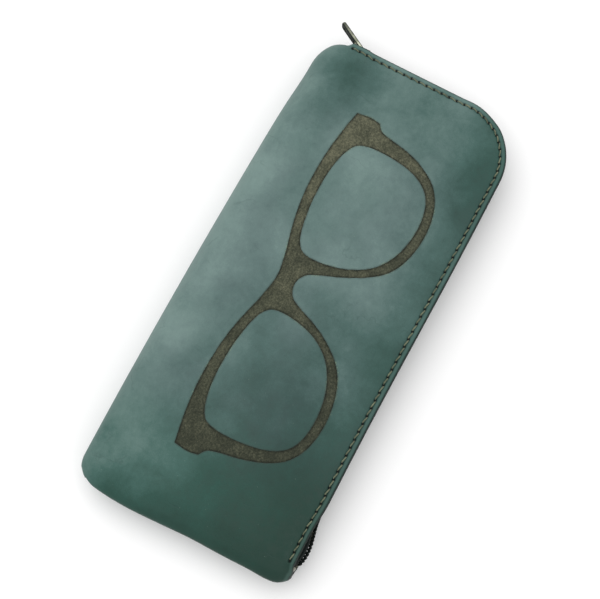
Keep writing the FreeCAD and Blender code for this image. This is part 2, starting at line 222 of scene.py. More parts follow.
def height(x, y, side):
    """Height of the leather's outer face over the centre plane."""
    x, y = np.asarray(x, float), np.asarray(y, float)
    from_seam = x + HALF_LENGTH
    edge = SEAM_EDGE + (EDGE - SEAM_EDGE) * smooth(from_seam / SEAM_RUN)
    lift = smooth((zip_depth(x, y) - MARGIN) / RISE) * smooth(from_seam / SEAM_SWELL)
    if side > 0:
        fall = sum(f * ((v - centre) / half) ** 2 for v, (centre, half, f) in zip((x, y), DOME))
        waves = WAVE_ROOM + undulation(x, y) + dents(x, y)
        return edge + (FRONT_CROWN - EDGE) * lift + lift * (waves - fall)
    free = edge + (BACK_CROWN + BACK_SAG - EDGE) * lift + BACK_WAVES * lift * undulation(x + 30, y - 20)
    over = (free - BACK_CROWN) / PRESSED + 1
    return np.where(over > 0, BACK_CROWN + PRESSED * (np.tanh(over) - 1), free)


# ---- the plan outline ----
def quarter_ellipse(name, start_degrees):
    cx, cy, a, b = CORNERS[name]
    turns = [math.radians(start_degrees - 3 * i) for i in range(31)]
    return [(cx + a * math.cos(t), cy + b * math.sin(t)) for t in turns]


def even_points(points, step):
    """The closed polyline's points spaced evenly."""
    p = np.vstack([points, points[:1]])
    run = run_of(p)
    at = np.linspace(0, run[-1], int(round(run[-1] / step)), endpoint=False)
    return sampled(at, run, p)


def end_shift(x, y):
    """How far out the leather's edge lies from a straight end beside the slider."""
    step = smooth((24 - y) / 3) * smooth((y + 24) / 10)
    return smooth((x - 88) / 4) * (END_SLANT * (y - 6) - END_STEP * step + humps(y, END_HUMPS))


def closed_outline():
    """Plan outline, clockwise seen from above, from the slider's side of the fold corner."""
    starts = (("zip", 0), ("seam_zip", 270), ("seam_fold", 180), ("slider_fold", 90))
    p = even_points(np.array([point for corner in starts for point in quarter_ellipse(*corner)]), OUTLINE_STEP)
    x, y = p[:, 0], p[:, 1]
    p[:, 1] += smooth((y - 30) / 10) * (FOLD_BOW * (1 - (x / HALF_LENGTH) ** 2) + humps(x, FOLD_HUMPS))
    p[:, 1] -= smooth((-38 - y) / 3) * ZIP_SIDE_WAVE * np.sin((x - 8) / 24)
    # each side's own change fades in towards it
    seam = 0.7 * (y / 38) ** 2 - 0.01 * y - 0.15 + humps(y, SEAM_HUMPS)
    p[:, 0] += smooth((-88 - x) / 4) * seam
    p[:, 0] += end_shift(x, y)
    for _ in range(12):
        p = (np.roll(p, 1, 0) + 2 * p + np.roll(p, -1, 0)) / 4
    return p


FAN = 14                  # outline points on each side over which a direction is taken


def stretch(points, start, end, step):
    """Columns along the outline from start to end: places, inward normals and distances run."""
    first, last = (int(np.argmin(np.hypot(*(points - spot).T))) for spot in (start, end))
    if last <= first:
        last += len(points)
    index = np.arange(first, last + 1) % len(points)
    p = points[index]
    # directions are taken over a few millimetres, so that the strips fan gently round the small corners
    tangent = unit((np.roll(points, -FAN, 0) - np.roll(points, FAN, 0))[index])
    run = run_of(p)
    at = np.linspace(0, run[-1], max(2, int(round(run[-1] / step)) + 1))
    along = unit(sampled(at, run, tangent))
    return {"place": sampled(at, run, p), "inward": np.column_stack([along[:, 1], -along[:, 0]]), "run": at}


OUTLINE = closed_outline()
SLIT_START = np.array([93.5, SLIT_TOP_Y])
SLIT_END = np.array([SLIT_END_X, ZIP_SIDE_Y])
ZIPPED = stretch(OUTLINE, SLIT_START, SLIT_END, STITCH_PITCH / COLUMNS_PER_STITCH)
SOFT = stretch(OUTLINE, SLIT_END, SLIT_START, SOFT_STEP)
# the turned seam reaches round to the corner of the fold
SEAM_COLUMNS = int(np.argmax(SOFT["place"][:, 1] > CORNERS["seam_fold"][1] + 4.5))


def from_ends(run):
    """Distance from the nearer end of a line."""
    return np.minimum(run, run[-1] - run)


def strip_radius():
    """How far in the rounded side reaches at each soft column: as far as the body is high there."""
    r = np.full(len(SOFT["place"]), 5.0)
    for _ in range(25):
        q = SOFT["place"] + SOFT["inward"] * r[:, None]
        r = 0.5 * r + 0.5 * height(q[:, 0], q[:, 1], 1)
    return r


RADIUS = strip_radius()


def strip_depths(turns, rows):
    """Depths of the rounded side's rows: even turns round it, but the margin's rows towards the slit's ends."""
    even = smooth(from_ends(SOFT["run"]) / SIDE_ROWS_RUN)[:, None]
    return even * RADIUS[:, None] * (1 - np.cos(turns)) + (1 - even) * rows


def lip_depth(depth, side):
    """Depths of the margin's rows: the front's cut edge lies back where the zipper bows out beside it."""
    run = ZIPPED["run"][:, None]
    bowed = smooth((BULGE_FROM_X - ZIPPED["place"][:, :1]) / LIP_RUN)
    back = bowed * smooth((run[-1] - run) / SLIT_CLOSE) * LIP_BACK * (side > 0)
    return depth + back * (1 - 0.5 * depth / MARGIN_ROWS[-1])


def stitch_holes():
    end = ZIPPED["run"][-1] - STITCH_UNTIL
    count = int((end - STITCH_FROM) / STITCH_PITCH)
    return STITCH_FROM + STITCH_PITCH * np.arange(count + 1)


HOLES = stitch_holes()


# ---- meshes ----
def tucked(verts):
    """Places with the underside of the long zipped side leaning inward, under the front's cut edge."""
    x, y, z = verts.T
    lean = TUCK * np.clip(MID_Z + SLOT_HALF - z, 0, None)
    moved = verts.copy()
    moved[:, 1] += lean * smooth((TUCK_FROM[1] - y) / TUCK_RUN) * smooth((x - TUCK_FROM[0]) / TUCK_RUN)
    return moved


def new_object(name, data):
    obj = bpy.data.objects.new(name, data)
    bpy.context.scene.collection.objects.link(obj)
    return obj


def make_piece(name, verts, faces, materials, face_material=None, facts=None, sharp=40):
    """A mesh object from millimetres, smooth but for edges sharper than the given angle."""
    mesh = bpy.data.meshes.new(name)
    verts = tucked(np.asarray(verts, float))
    mesh.from_pydata((verts * MM).tolist(), [], [list(map(int, f)) for f in faces])
    for material in materials:
        mesh.materials.append(material)
    if face_material is not None:
        mesh.polygons.foreach_set("material_index", np.asarray(face_material, np.int32))
    rest = mesh.attributes.new("rest", "FLOAT_VECTOR", "POINT")
    rest.data.foreach_set("vector", verts.astype(np.float32).ravel())
    for key, values in (facts or {}).items():
        layer = mesh.attributes.new(key, "FLOAT", "POINT")
        layer.data.foreach_set("value", np.asarray(values, np.float32))
    mesh.polygons.foreach_set("use_smooth", np.ones(len(mesh.polygons), bool))
    if sharp:
        mesh.set_sharp_from_angle(angle=math.radians(sharp))
    mesh.validate()
    return new_object(name, mesh)


def grid_faces(index, flip=False):
    """Quads over a 2-D array of vertex indices."""
    a, b, c, d = index[:-1, :-1], index[1:, :-1], index[1:, 1:], index[:-1, 1:]
    quads = np.stack([a, b, c, d] if flip else [d, c, b, a], axis=-1).reshape(-1, 4)
    return [list(q) for q in quads]


def wrapped(index):
    """Vertex indices with the first column repeated after the last, for a closed round of faces."""
    return np.column_stack([index, index[:, :1]])


def tube(path, radius, sides=6):
    """Vertices and faces of a tube round a path, with flat ends."""
    path = np.asarray(path, float)
    tangent = unit(np.gradient(path, axis=0))
    normal = np.cross(tangent[0], [0.3, 0.2, 0.93])
    turns = 2 * math.pi * np.arange(sides) / sides
    verts = []
    for point, along in zip(path, tangent):
        normal = normal - along * normal.dot(along)
        normal /= np.linalg.norm(normal)
        round_it = np.outer(np.cos(turns), normal) + np.outer(np.sin(turns), np.cross(along, normal))
        verts.append(point + radius * round_it)
    index = np.arange(len(path) * sides).reshape(-1, sides)
    return np.concatenate(verts), grid_faces(wrapped(index)) + [index[0][::-1].tolist(), index[-1].tolist()]


def join(parts):
    """Several lists of vertices and faces as one."""
    verts, faces, start = [], [], 0
    for v, f in parts:
        verts.append(v)
        faces += [[i + start for i in face] for face in f]
        start += len(v)
    return np.concatenate(verts), faces


def inside(loop, points):
    """Which plan points lie inside a closed loop."""
    a, b = loop, np.roll(loop, -1, 0)
    odd = np.zeros(len(points), bool)
    for block in blocks(np.arange(len(points)), 4000):
        px, py = points[block][:, 0:1], points[block][:, 1:2]
        crosses = (a[:, 1] > py) != (b[:, 1] > py)
        with np.errstate(divide="ignore", invalid="ignore"):
            at = a[:, 0] + (py - a[:, 1]) * (b[:, 0] - a[:, 0]) / (b[:, 1] - a[:, 1])
        odd[block] = (crosses & (px < at)).sum(1) % 2 == 1
    return odd


# ---- the engraved pictogram: a generic pair of spectacles, symmetrical about its middle ----
MOTIF_AT = (0.25, -0.6)
MOTIF_SCALE = 0.992
MOTIF_TURN = math.radians(0.3)
RIM_OUTSIDE = (            # from the bridge's top round to its underside; a third value marks a corner
    (0, 12.2), (10, 13.8), (17.8, 15.8), (27.8, 17.7), (38.7, 18.5), (49.6, 18.2), (59.7, 17), (68.5, 15.5, 1),
    (69.1, 10.2), (68.5, 6.3, 1), (66, 4.3), (64.7, 0.2), (63.3, -7), (60.6, -15), (56.1, -21.6), (49.6, -25.4),
    (41.7, -27), (33.8, -26.8), (25.8, -25), (19.2, -21.4), (13.9, -15.3), (9.8, -8), (6.8, -0.6), (4.3, 3.6),
    (0, 5.2),
)
LENS = (
    (11.1, 4.4), (12.3, 8.8), (16.9, 11.7), (26.8, 13.7), (35.7, 14.3), (44.6, 13.9), (52.2, 12.3), (56.7, 9.7),
    (58.2, 5.6), (58.5, 0), (57.7, -9), (55.5, -16), (51.4, -20.8), (44.6, -23.2), (35.7, -23.4), (26.8, -21.4),
    (19.4, -17.1), (14.6, -10.9), (12, -3.6),
)
CONTOUR_STEP = 0.5
FAR = 99.0                # stands for any distance too long to matter


def rounded(points, closed):
    """A smooth curve through the points, kept sharp at marked corners and level at open ends."""
    p = np.array([q[:2] for q in points], float)
    n = len(p)
    heading = np.roll(p, -1, 0) - np.roll(p, 1, 0)
    if not closed:
        heading[0], heading[-1] = (1, 0), (-1, 0)
    out = []
    for i in range(n if closed else n - 1):
        j = (i + 1) % n
        chord = p[j] - p[i]
        length = np.linalg.norm(chord)
        leave, arrive = (chord if len(points[k]) > 2 else unit(heading[k : k + 1])[0] * length for k in (i, j))
        for t in np.linspace(0, 1, max(3, int(length / CONTOUR_STEP)), endpoint=False):
            a, b, c, d = 2 * t**3 - 3 * t**2 + 1, t**3 - 2 * t**2 + t, -2 * t**3 + 3 * t**2, t**3 - t**2
            out.append(a * p[i] + b * leave + c * p[j] + d * arrive)
    return np.array(out if closed else out + [p[-1]])


def motif_loops():
    half = rounded(RIM_OUTSIDE, closed=False)
    mirrored = half[::-1][1:-1] * [-1, 1]
    lens = rounded(LENS, closed=True)
    loops = [np.vstack([half, mirrored]), lens, lens * [-1, 1]]
    c, t = math.cos(MOTIF_TURN), math.sin(MOTIF_TURN)
    return [loop @ np.array([[c, t], [-t, c]]) * MOTIF_SCALE + MOTIF_AT for loop in loops]


MOTIF = motif_loops()


def motif_distance(x, y):
    """Signed distance from the engraving's outline: negative inside it."""
    points = np.column_stack([x, y])
    best = np.full(len(points), FAR)
    within = np.zeros(len(points), bool)
    near = np.flatnonzero(np.abs(points[:, 1] + 4) < 28)
    for loop in MOTIF:
        a, b = loop, np.roll(loop, -1, 0)
        edge = b - a
        for block in blocks(near, 4000):
            q = points[block][:, None, :] - a[None]
            t = np.clip((q * edge).sum(-1) / (edge * edge).sum(-1), 0, 1)
            gap = np.linalg.norm(q - t[..., None] * edge, axis=-1).min(1)
            best[block] = np.minimum(best[block], gap)
        within[near] ^= inside(loop, points[near])
    return np.where(within, -best, best)


# ---- leather ----
def side_pair(radius, top, depth):
    """Outer and inner (depth, height) of the rounded side, at a depth inward from the outline."""
    turn = np.arccos(np.clip(1 - depth / radius, -1, 1))
    inner_r = radius - LEATHER
    outer = (depth, top * np.sin(turn))
    inner = (LEATHER + inner_r * (1 - np.cos(turn)), (top - LEATHER) * np.sin(turn))
    return outer, inner


def reach_in(line, depth):
    """Plan places at depths inward from a line's columns."""
    return line["place"][:, None] + line["inward"][:, None] * depth[..., None]


def margin_grid(side):
    """Outer and inner places of the margin's columns and rows, and each stitch hole's pit, which also sets
    painted shade in the holes.
    """
    run = ZIPPED["run"]
    depth = np.broadcast_to(np.array(MARGIN_ROWS), (len(run), len(MARGIN_ROWS)))
    moved = lip_depth(depth, side)
    flat = reach_in(ZIPPED, moved)
    base = height(flat[..., 0], flat[..., 1], side)
    # near its ends the slit closes, and the margin turns into the rounded side
    opened = smooth(from_ends(run) / SLIT_CLOSE)[:, None]
    end_radius = np.where(run < run[-1] / 2, RADIUS[-1], RADIUS[0])[:, None]
    round_outer, round_inner = side_pair(end_radius, base, np.minimum(depth, end_radius))
    gap = np.abs(run[:, None] - HOLES).min(1)[:, None]
    pit = np.exp(-((gap / HOLE_R) ** 2) - ((depth - STITCH_IN) / (0.85 * HOLE_R)) ** 2)
    sewn = (run > HOLES[0] - 0.6)[:, None] & (run < HOLES[-1] + 0.6)[:, None]
    groove = humps(depth, ((STITCH_IN, GROOVE_WIDE, GROOVE_DEEP),)) * sewn
    between = 1 + 0.35 * np.cos(2 * math.pi * gap / STITCH_PITCH)
    puff = humps(depth, ((PUFF_IN, PUFF_WIDE, PUFF_HIGH),)) * between
    bevel = BEVEL_DEEP * np.clip(1 - depth / BEVEL_WIDE, 0, 1) ** 2
    top = base + puff - groove - HOLE_DEEP * pit - bevel
    z_out = opened * top + (1 - opened) * round_outer[1]
    d_in = opened * moved + (1 - opened) * round_inner[0]
    z_in = opened * (base - LEATHER + 0.3 * bevel) + (1 - opened) * round_inner[1]
    outer = np.dstack([flat, MID_Z + side * z_out])
    return outer, np.dstack([reach_in(ZIPPED, d_in), MID_Z + side * z_in]), pit


def soft_grid(side):
    """The rounded side's places from the outermost line inward, on one side of the centre plane."""
    depth = strip_depths(np.linspace(0, math.pi / 2, len(MARGIN_ROWS)), np.array(MARGIN_ROWS))
    flat = reach_in(SOFT, depth)
    outer, inner = side_pair(RADIUS[:, None], height(flat[..., 0], flat[..., 1], side), depth)
    seamed = np.clip((SEAM_COLUMNS + 4 - np.arange(len(depth))) / 4, 0, 1)
    seamed *= smooth((from_ends(SOFT["run"]) - 1.0) / 3)
    valley = seamed[:, None] * humps(outer[1], ((0, VALLEY_WIDE, VALLEY_DEEP),))
    return [np.dstack([reach_in(SOFT, d), MID_Z + side * z]) for d, z in ((outer[0] + valley, outer[1]), inner)]


def lower_fold():
    """The fold's lower half, from the outermost line down to the back, without the first row."""
    fold = {key: values[SEAM_COLUMNS:] for key, values in SOFT.items()}
    turns = np.linspace(0, math.pi / 2, LOWER_ROWS)
    rows = np.linspace(0, 1, LOWER_ROWS) ** 2 * MARGIN_ROWS[-1]
    depth = strip_depths(turns, rows)[SEAM_COLUMNS:, 1:]
    under = reach_in(fold, depth)
    pair = side_pair(RADIUS[SEAM_COLUMNS:, None], height(under[..., 0], under[..., 1], -1), depth)
    return [np.dstack([reach_in(fold, d), MID_Z - z]) for d, z in pair]


def hexagonal_points(step, loop, keep_off):
    """Evenly spread plan points inside a closed loop, at least keep_off from it."""
    low, high = loop.min(0), loop.max(0)
    rows = np.arange(low[1], high[1], step * math.sqrt(3) / 2)
    points = []
    for i, y in enumerate(rows):
        x = np.arange(low[0] + (i % 2) * step / 2, high[0], step)
        points.append(np.column_stack([x, np.full(len(x), y)]))
    points = np.concatenate(points)
    points = points[inside(loop, points)]
    gap = [np.hypot(*(block[:, None] - loop).transpose(2, 0, 1)).min(1) for block in blocks(points, 3000)]
    return points[np.concatenate(gap) > keep_off]


def shifted_loop(loop, offset):
    """The loop moved sideways, outward where offset is positive."""
    tangent = unit(np.roll(loop, -1, 0) - np.roll(loop, 1, 0))
    return loop + np.column_stack([tangent[:, 1], -tangent[:, 0]]) * offset


ENGRAVED_RINGS = (-0.75, -0.4, -0.09, 0.09, 0.45)  # rows of points beside the engraving's outline, outward


def filled(loop, step, engraved):
    """Triangles over the inside of a loop: new points after the loop's own, and faces."""
    points = [loop, hexagonal_points(step, loop, 0.6 * step)]
    edges = []
    if engraved:
        start = sum(map(len, points))
        for contour in MOTIF:
            for offset in ENGRAVED_RINGS:
                ring = shifted_loop(contour, offset)
                n = len(ring)
                edges += [(start + i, start + (i + 1) % n) for i in range(n)]
                points.append(ring)
                start += n
    points = np.concatenate(points)
    whole = list(range(len(loop)))[::-1]
    out = delaunay_2d_cdt([Vector(p) for p in points], edges, [whole], 1, 1e-5, True)
    places, faces, origins = np.array(out[0]), out[2], out[3]
    faces = [f for f, kept in zip(faces, inside(loop, places[np.array(faces)].mean(1))) if kept]
    index = np.full(len(places), -1)
    for i, source in enumerate(origins):
        own = [s for s in source if s < len(loop)]
        if own:
            index[i] = own[0]
    fresh = np.flatnonzero(index < 0)
    index[fresh] = len(loop) + np.arange(len(fresh))
    extra = places[fresh]
    return extra, [[int(index[i]) for i in f] for f in faces]


CUT_EDGE_ROUND = 0.14     # how far the middle of the cut edge stands out


def leather_rows(side):
    """Margin and rounded sides: outer and inner places, painted shade of the stitch holes, outer faces, margin's
    and last row's index.
    """
    margin_out, margin_in, pit = margin_grid(side)
    soft_out, soft_in = soft_grid(side)
    outer, inner, dark = [margin_out.reshape(-1, 3)], [margin_in.reshape(-1, 3)], [pit.ravel()]
    m, k = margin_out.shape[:2]
    margin = np.arange(m * k).reshape(m, k)
    total = m * k
    soft = np.full(soft_out.shape[:2], -1)
    soft[0], soft[-1] = margin[-1], margin[0]
    for c in range(1, len(soft) - 1):
        # past the seam the back starts at the fold's last row
        rows = np.arange(k) if side > 0 or c <= SEAM_COLUMNS else np.array([k - 1])
        soft[c, rows] = total + np.arange(len(rows))
        total += len(rows)
        outer.append(soft_out[c, rows])
        inner.append(soft_in[c, rows])
        dark.append(np.zeros(len(rows)))
    faces = grid_faces(margin, flip=side < 0)
    faces += grid_faces(soft if side > 0 else soft[: SEAM_COLUMNS + 1], flip=side < 0)
    if side > 0:
        low_out, low_in = lower_fold()
        low = total + np.arange(low_out.shape[0] * low_out.shape[1]).reshape(low_out.shape[:2])
        outer.append(low_out.reshape(-1, 3))
        inner.append(low_in.reshape(-1, 3))
        dark.append(np.zeros(low.size))
        faces += grid_faces(np.column_stack([soft[SEAM_COLUMNS:, 0], low]), flip=True)
    ring = np.concatenate([margin[:, -1], soft[1:-1, -1]])
    return np.concatenate(outer), np.concatenate(inner), np.concatenate(dark), faces, margin, ring


def leather_rim(faces, outer, inner, inner_start, middle_start, margin):
    """New places and faces from the outer face's open edges to the inner face's, with a rounded middle line."""
    directed = dict.fromkeys(edge for f in faces for edge in zip(f, f[1:] + f[:1]))
    edges = [(a, b) for a, b in directed if (b, a) not in directed]
    used = sorted({v for edge in edges for v in edge})
    middle = {v: middle_start + i for i, v in enumerate(used)}
    places = (outer[used] + inner[used]) / 2
    cut = set(margin[:, 0])
    for i, v in enumerate(used):
        if v in cut:
            places[i, :2] -= ZIPPED["inward"][v // margin.shape[1]] * CUT_EDGE_ROUND
    rim = []
    for a, b in edges:
        rim.append([b, a, middle[a], middle[b]])
        rim.append([middle[b], middle[a], a + inner_start, b + inner_start])
    return places, rim


def leather_sheet(side, step, inner_step):
    """One side of the pouch as a closed skin of leather: outer face, inner face and the edges between them."""
    outer, inner, dark, row_faces, margin, ring = leather_rows(side)
    count = len(outer)
    extra_out, tri_out = filled(outer[ring][:, :2], step, side > 0)
    extra_in, tri_in = filled(inner[ring][:, :2], inner_step, False)
    distance = np.full(len(extra_out), FAR)
    if side > 0:
        distance = motif_distance(*extra_out.T)
    z_out = height(*extra_out.T, side) - ENGRAVED * smooth(0.5 - distance / ENGRAVED_WALL)
    z_in = height(*extra_in.T, side) - LEATHER
    fill_out = np.column_stack([extra_out, MID_Z + side * z_out])
    fill_in = np.column_stack([extra_in, MID_Z + side * z_in])
    inner_start = count + len(fill_out)
    middle_start = inner_start + count + len(fill_in)

    def ids(faces, first, first_extra, flip):
        """The fill's faces in the sheet's own indices."""
        own = (ring + first).tolist()
        faces = [[own[i] if i < len(own) else first_extra + i - len(own) for i in f] for f in faces]
        return [f[::-1] for f in faces] if flip else faces

    up = ids(tri_out, 0, count, side < 0)
    down = ids(tri_in, inner_start, inner_start + count, side > 0)
    outer_faces = row_faces + up
    inner_faces = [[i + inner_start for i in f[::-1]] for f in row_faces] + down
    middle, rim_faces = leather_rim(outer_faces, outer, inner, inner_start, middle_start, margin)
    verts = np.concatenate([outer, fill_out, inner, fill_in, middle])
    # facts for the materials
    engrave = np.full(len(verts), FAR)
    engrave[count:inner_start] = distance
    # painted shade in the stitch holes
    painted_hole_shade = np.zeros(len(verts))
    painted_hole_shade[:count] = dark
    edge = np.full(len(verts), FAR)
    edge[:count] = np.maximum(zip_depth(outer[:, 0], outer[:, 1]), 0)
    edge[margin.ravel()] = np.tile(MARGIN_ROWS, len(margin))
    # materials: 0 is the outer face, 1 the engraving, 2 the flesh side and 3 the cut edge
    kinds = np.repeat([0, 2, 3], [len(outer_faces), len(inner_faces), len(rim_faces)])
    if side > 0:
        middles = verts[np.array(up)].mean(1)
        kinds[len(row_faces) : len(outer_faces)] = motif_distance(*middles[:, :2].T) < 0
    facts = {"engrave": engrave, "painted_hole_shade": painted_hole_shade, "edge": edge}
    return verts, outer_faces + inner_faces + rim_faces, kinds, facts


# ---- materials ----
def paint(r, g, b):
    """A colour given as it looks, 0 to 255, as the shader takes it."""
    return tuple(((v / 255 + 0.055) / 1.055) ** 2.4 if v > 10 else v / 3295 for v in (r, g, b)) + (1.0,)


class Shader:
    """A Principled material with short ways to add nodes to it."""

    def __init__(self, name, colour=(0.5, 0.5, 0.5, 1), roughness=0.5, **inputs):
        self.material = bpy.data.materials.new(name)
        self.material.use_nodes = True
        self.tree = self.material.node_tree
        self.bsdf = self.tree.nodes["Principled BSDF"]
        self.feed(self.bsdf.inputs["Base Color"], colour)
        self.feed(self.bsdf.inputs["Roughness"], roughness)
        for key, value in inputs.items():
            self.feed(self.bsdf.inputs[key.replace("_", " ")], value)

    def feed(self, socket, value):
        if isinstance(value, bpy.types.NodeSocket):
            self.tree.links.new(value, socket)
        else:
            socket.default_value = value

    def add(self, kind, inputs, **settings):
        node = self.tree.nodes.new("ShaderNode" + kind)
        for key, value in settings.items():
            setattr(node, key, value)
        for key, value in inputs.items():
            self.feed(node.inputs[key], value)
        return node

    def fact(self, name, output="Fac"):
        return self.add("Attribute", {}, attribute_name=name).outputs[output]

    def rest(self):
        """Places on the piece at rest, in millimetres."""
        return self.fact("rest", "Vector")

    def calc(self, operation, a, b=0.0, c=0.0):
        return self.add("Math", {0: a, 1: b, 2: c}, operation=operation).outputs[0]

    def times(self, a, b):
        return self.calc("MULTIPLY", a, b)

    def vector(self, operation, output, *inputs):
        return self.add("VectorMath", dict(enumerate(inputs)), operation=operation).outputs[output]

    def along(self, vector, direction):
        return self.vector("DOT_PRODUCT", "Value", vector, direction)

    def noise(self, vector, scale, detail=4.0, rough=0.55, distortion=0.0, output="Fac"):
        keys = ("Vector", "Scale", "Detail", "Roughness", "Distortion")
        inputs = dict(zip(keys, (vector, scale, detail, rough, distortion)))
        return self.add("TexNoise", inputs).outputs[output]

    def cells(self, vector, scale, feature="F1"):
        return self.add("TexVoronoi", {"Vector": vector, "Scale": scale}, feature=feature).outputs["Distance"]

    def span(self, value, low, high, to_low=0.0, to_high=1.0):
        """The value stretched from one span to another, held within it, with a smooth step."""
        inputs = {"Value": value, "From Min": low, "From Max": high, "To Min": to_low, "To Max": to_high}
        return self.add("MapRange", inputs, interpolation_type="SMOOTHSTEP").outputs["Result"]

    def mix(self, factor, a, b):
        node = self.add("Mix", {"Factor": factor}, data_type="RGBA")
        # a Mix node's names repeat for each data type, so its colours go by number
        self.feed(node.inputs[6], a)
        self.feed(node.inputs[7], b)
        return node.outputs[2]

    def ramp(self, value, *stops):
        node = self.add("ValToRGB", {"Fac": value})
        elements = node.color_ramp.elements
        while len(elements) < len(stops):
            elements.new(0.5)
        for element, (place, colour) in zip(elements, stops):
            element.position = place
            element.color = paint(*colour)
        return node.outputs["Color"]

    def between(self, value, dark, pale):
        """Two colours mixed by a noise value, whose middle third or so is stretched over them."""
        return self.ramp(self.span(value, 0.35, 0.65), (0.0, dark), (1.0, pale))

    def bump(self, height_value, strength, distance, normal=None):
        node = self.add("Bump", {"Height": height_value, "Strength": strength, "Distance": distance})
        if normal is not None:
            self.feed(node.inputs["Normal"], normal)
        return node.outputs["Normal"]

    def finish_with(self, colour=None, roughness=None, normal=None):
        for key, value in (("Base Color", colour), ("Roughness", roughness), ("Normal", normal)):
            if value is not None:
                self.feed(self.bsdf.inputs[key], value)
        return self.material


# Painted light and shade on the leather, paler and darker areas: centre, half widths and change of tone
PAINTED_LIGHT_AND_SHADE = (
    (86, 26, 13, 13, -0.19), (74, 23, 15, 14, -0.08), (93, 0, 12, 60, -0.03), (26, -6, 44, 26, 0.13),
    (4, -24, 24, 15, 0.11), (57, 34, 14, 11, -0.09), (72, -36, 26, 13, -0.1), (-93, 4, 20, 44, -0.08),
    (-94, 18, 8, 24, -0.05), (-84, -34, 28, 13, -0.06), (-10, 38, 80, 12, 0.05), (-36, -28, 22, 13, 0.08),
    (-76, 16, 16, 15, 0.06), (-34, 34, 26, 12, 0.05), (87, -12, 13, 15, 0.06), (-26, 10, 16, 9, 0.06),
    (74, -2, 15, 22, -0.07), (88, 36, 9, 7, 0.05),
)


def leather_tone_and_painted_shade(s, p, drift, mottle, fine):
    """How pale the leather is, 0 to 1: painted light towards the fold, painted light and shade, and noise of
    several sizes.
    """
    # painted light: a slope paler towards the fold, then the table's painted light and shade
    tone_and_shade = s.calc("ADD", s.along(p, (0.0009, 0.0030, 0.0)), 0.02)
    for x, y, wide, high, change in PAINTED_LIGHT_AND_SHADE:
        scaled = s.vector("MULTIPLY", "Vector", p, (1 / wide, 1 / high, 0.0))
        away = s.vector("DISTANCE", "Value", scaled, (x / wide, y / high, 0.0))
        tone_and_shade = s.calc("ADD", tone_and_shade, s.span(away, 0.0, 1.5, change, 0.0))
    cloud = s.noise(p, 0.02, 4, 0.55, 0.5)
    for value, share in ((cloud, 0.3), (drift, 0.3), (mottle, 0.13), (fine, 0.08)):
        tone_and_shade = s.calc("MULTIPLY_ADD", value, share, tone_and_shade)
    return s.span(tone_and_shade, 0.08, 0.73)


def leather_dye(s, p, tone_and_shade):
    """The dyed colour over the painted light and shade: bluer and greyer over the middle, greener towards the
    turned seam.
    """
    green = s.ramp(
        tone_and_shade, (0.0, (8, 44, 34)), (0.35, (30, 67, 58)), (0.6, (53, 86, 79)), (0.82, (81, 107, 101)),
        (1.0, (104, 127, 120)),
    )
    grey = s.ramp(
        tone_and_shade, (0.0, (28, 47, 45)), (0.35, (49, 70, 68)), (0.6, (69, 90, 88)), (0.82, (87, 108, 105)),
        (1.0, (106, 128, 123)),
    )
    x, y = s.along(p, (1, 0, 0)), s.along(p, (0, 1, 0))
    faded = s.times(s.span(x, -74, -38), s.span(y, -38, -12, 0.4, 1.0))
    faded = s.times(faded, s.span(x, 42, 82, 1.0, 0.45))
    faded = s.times(faded, s.span(s.noise(p, 0.03, 3, 0.5), 0.36, 0.6, 0.55, 0.95))
    return s.mix(faded, green, grey)


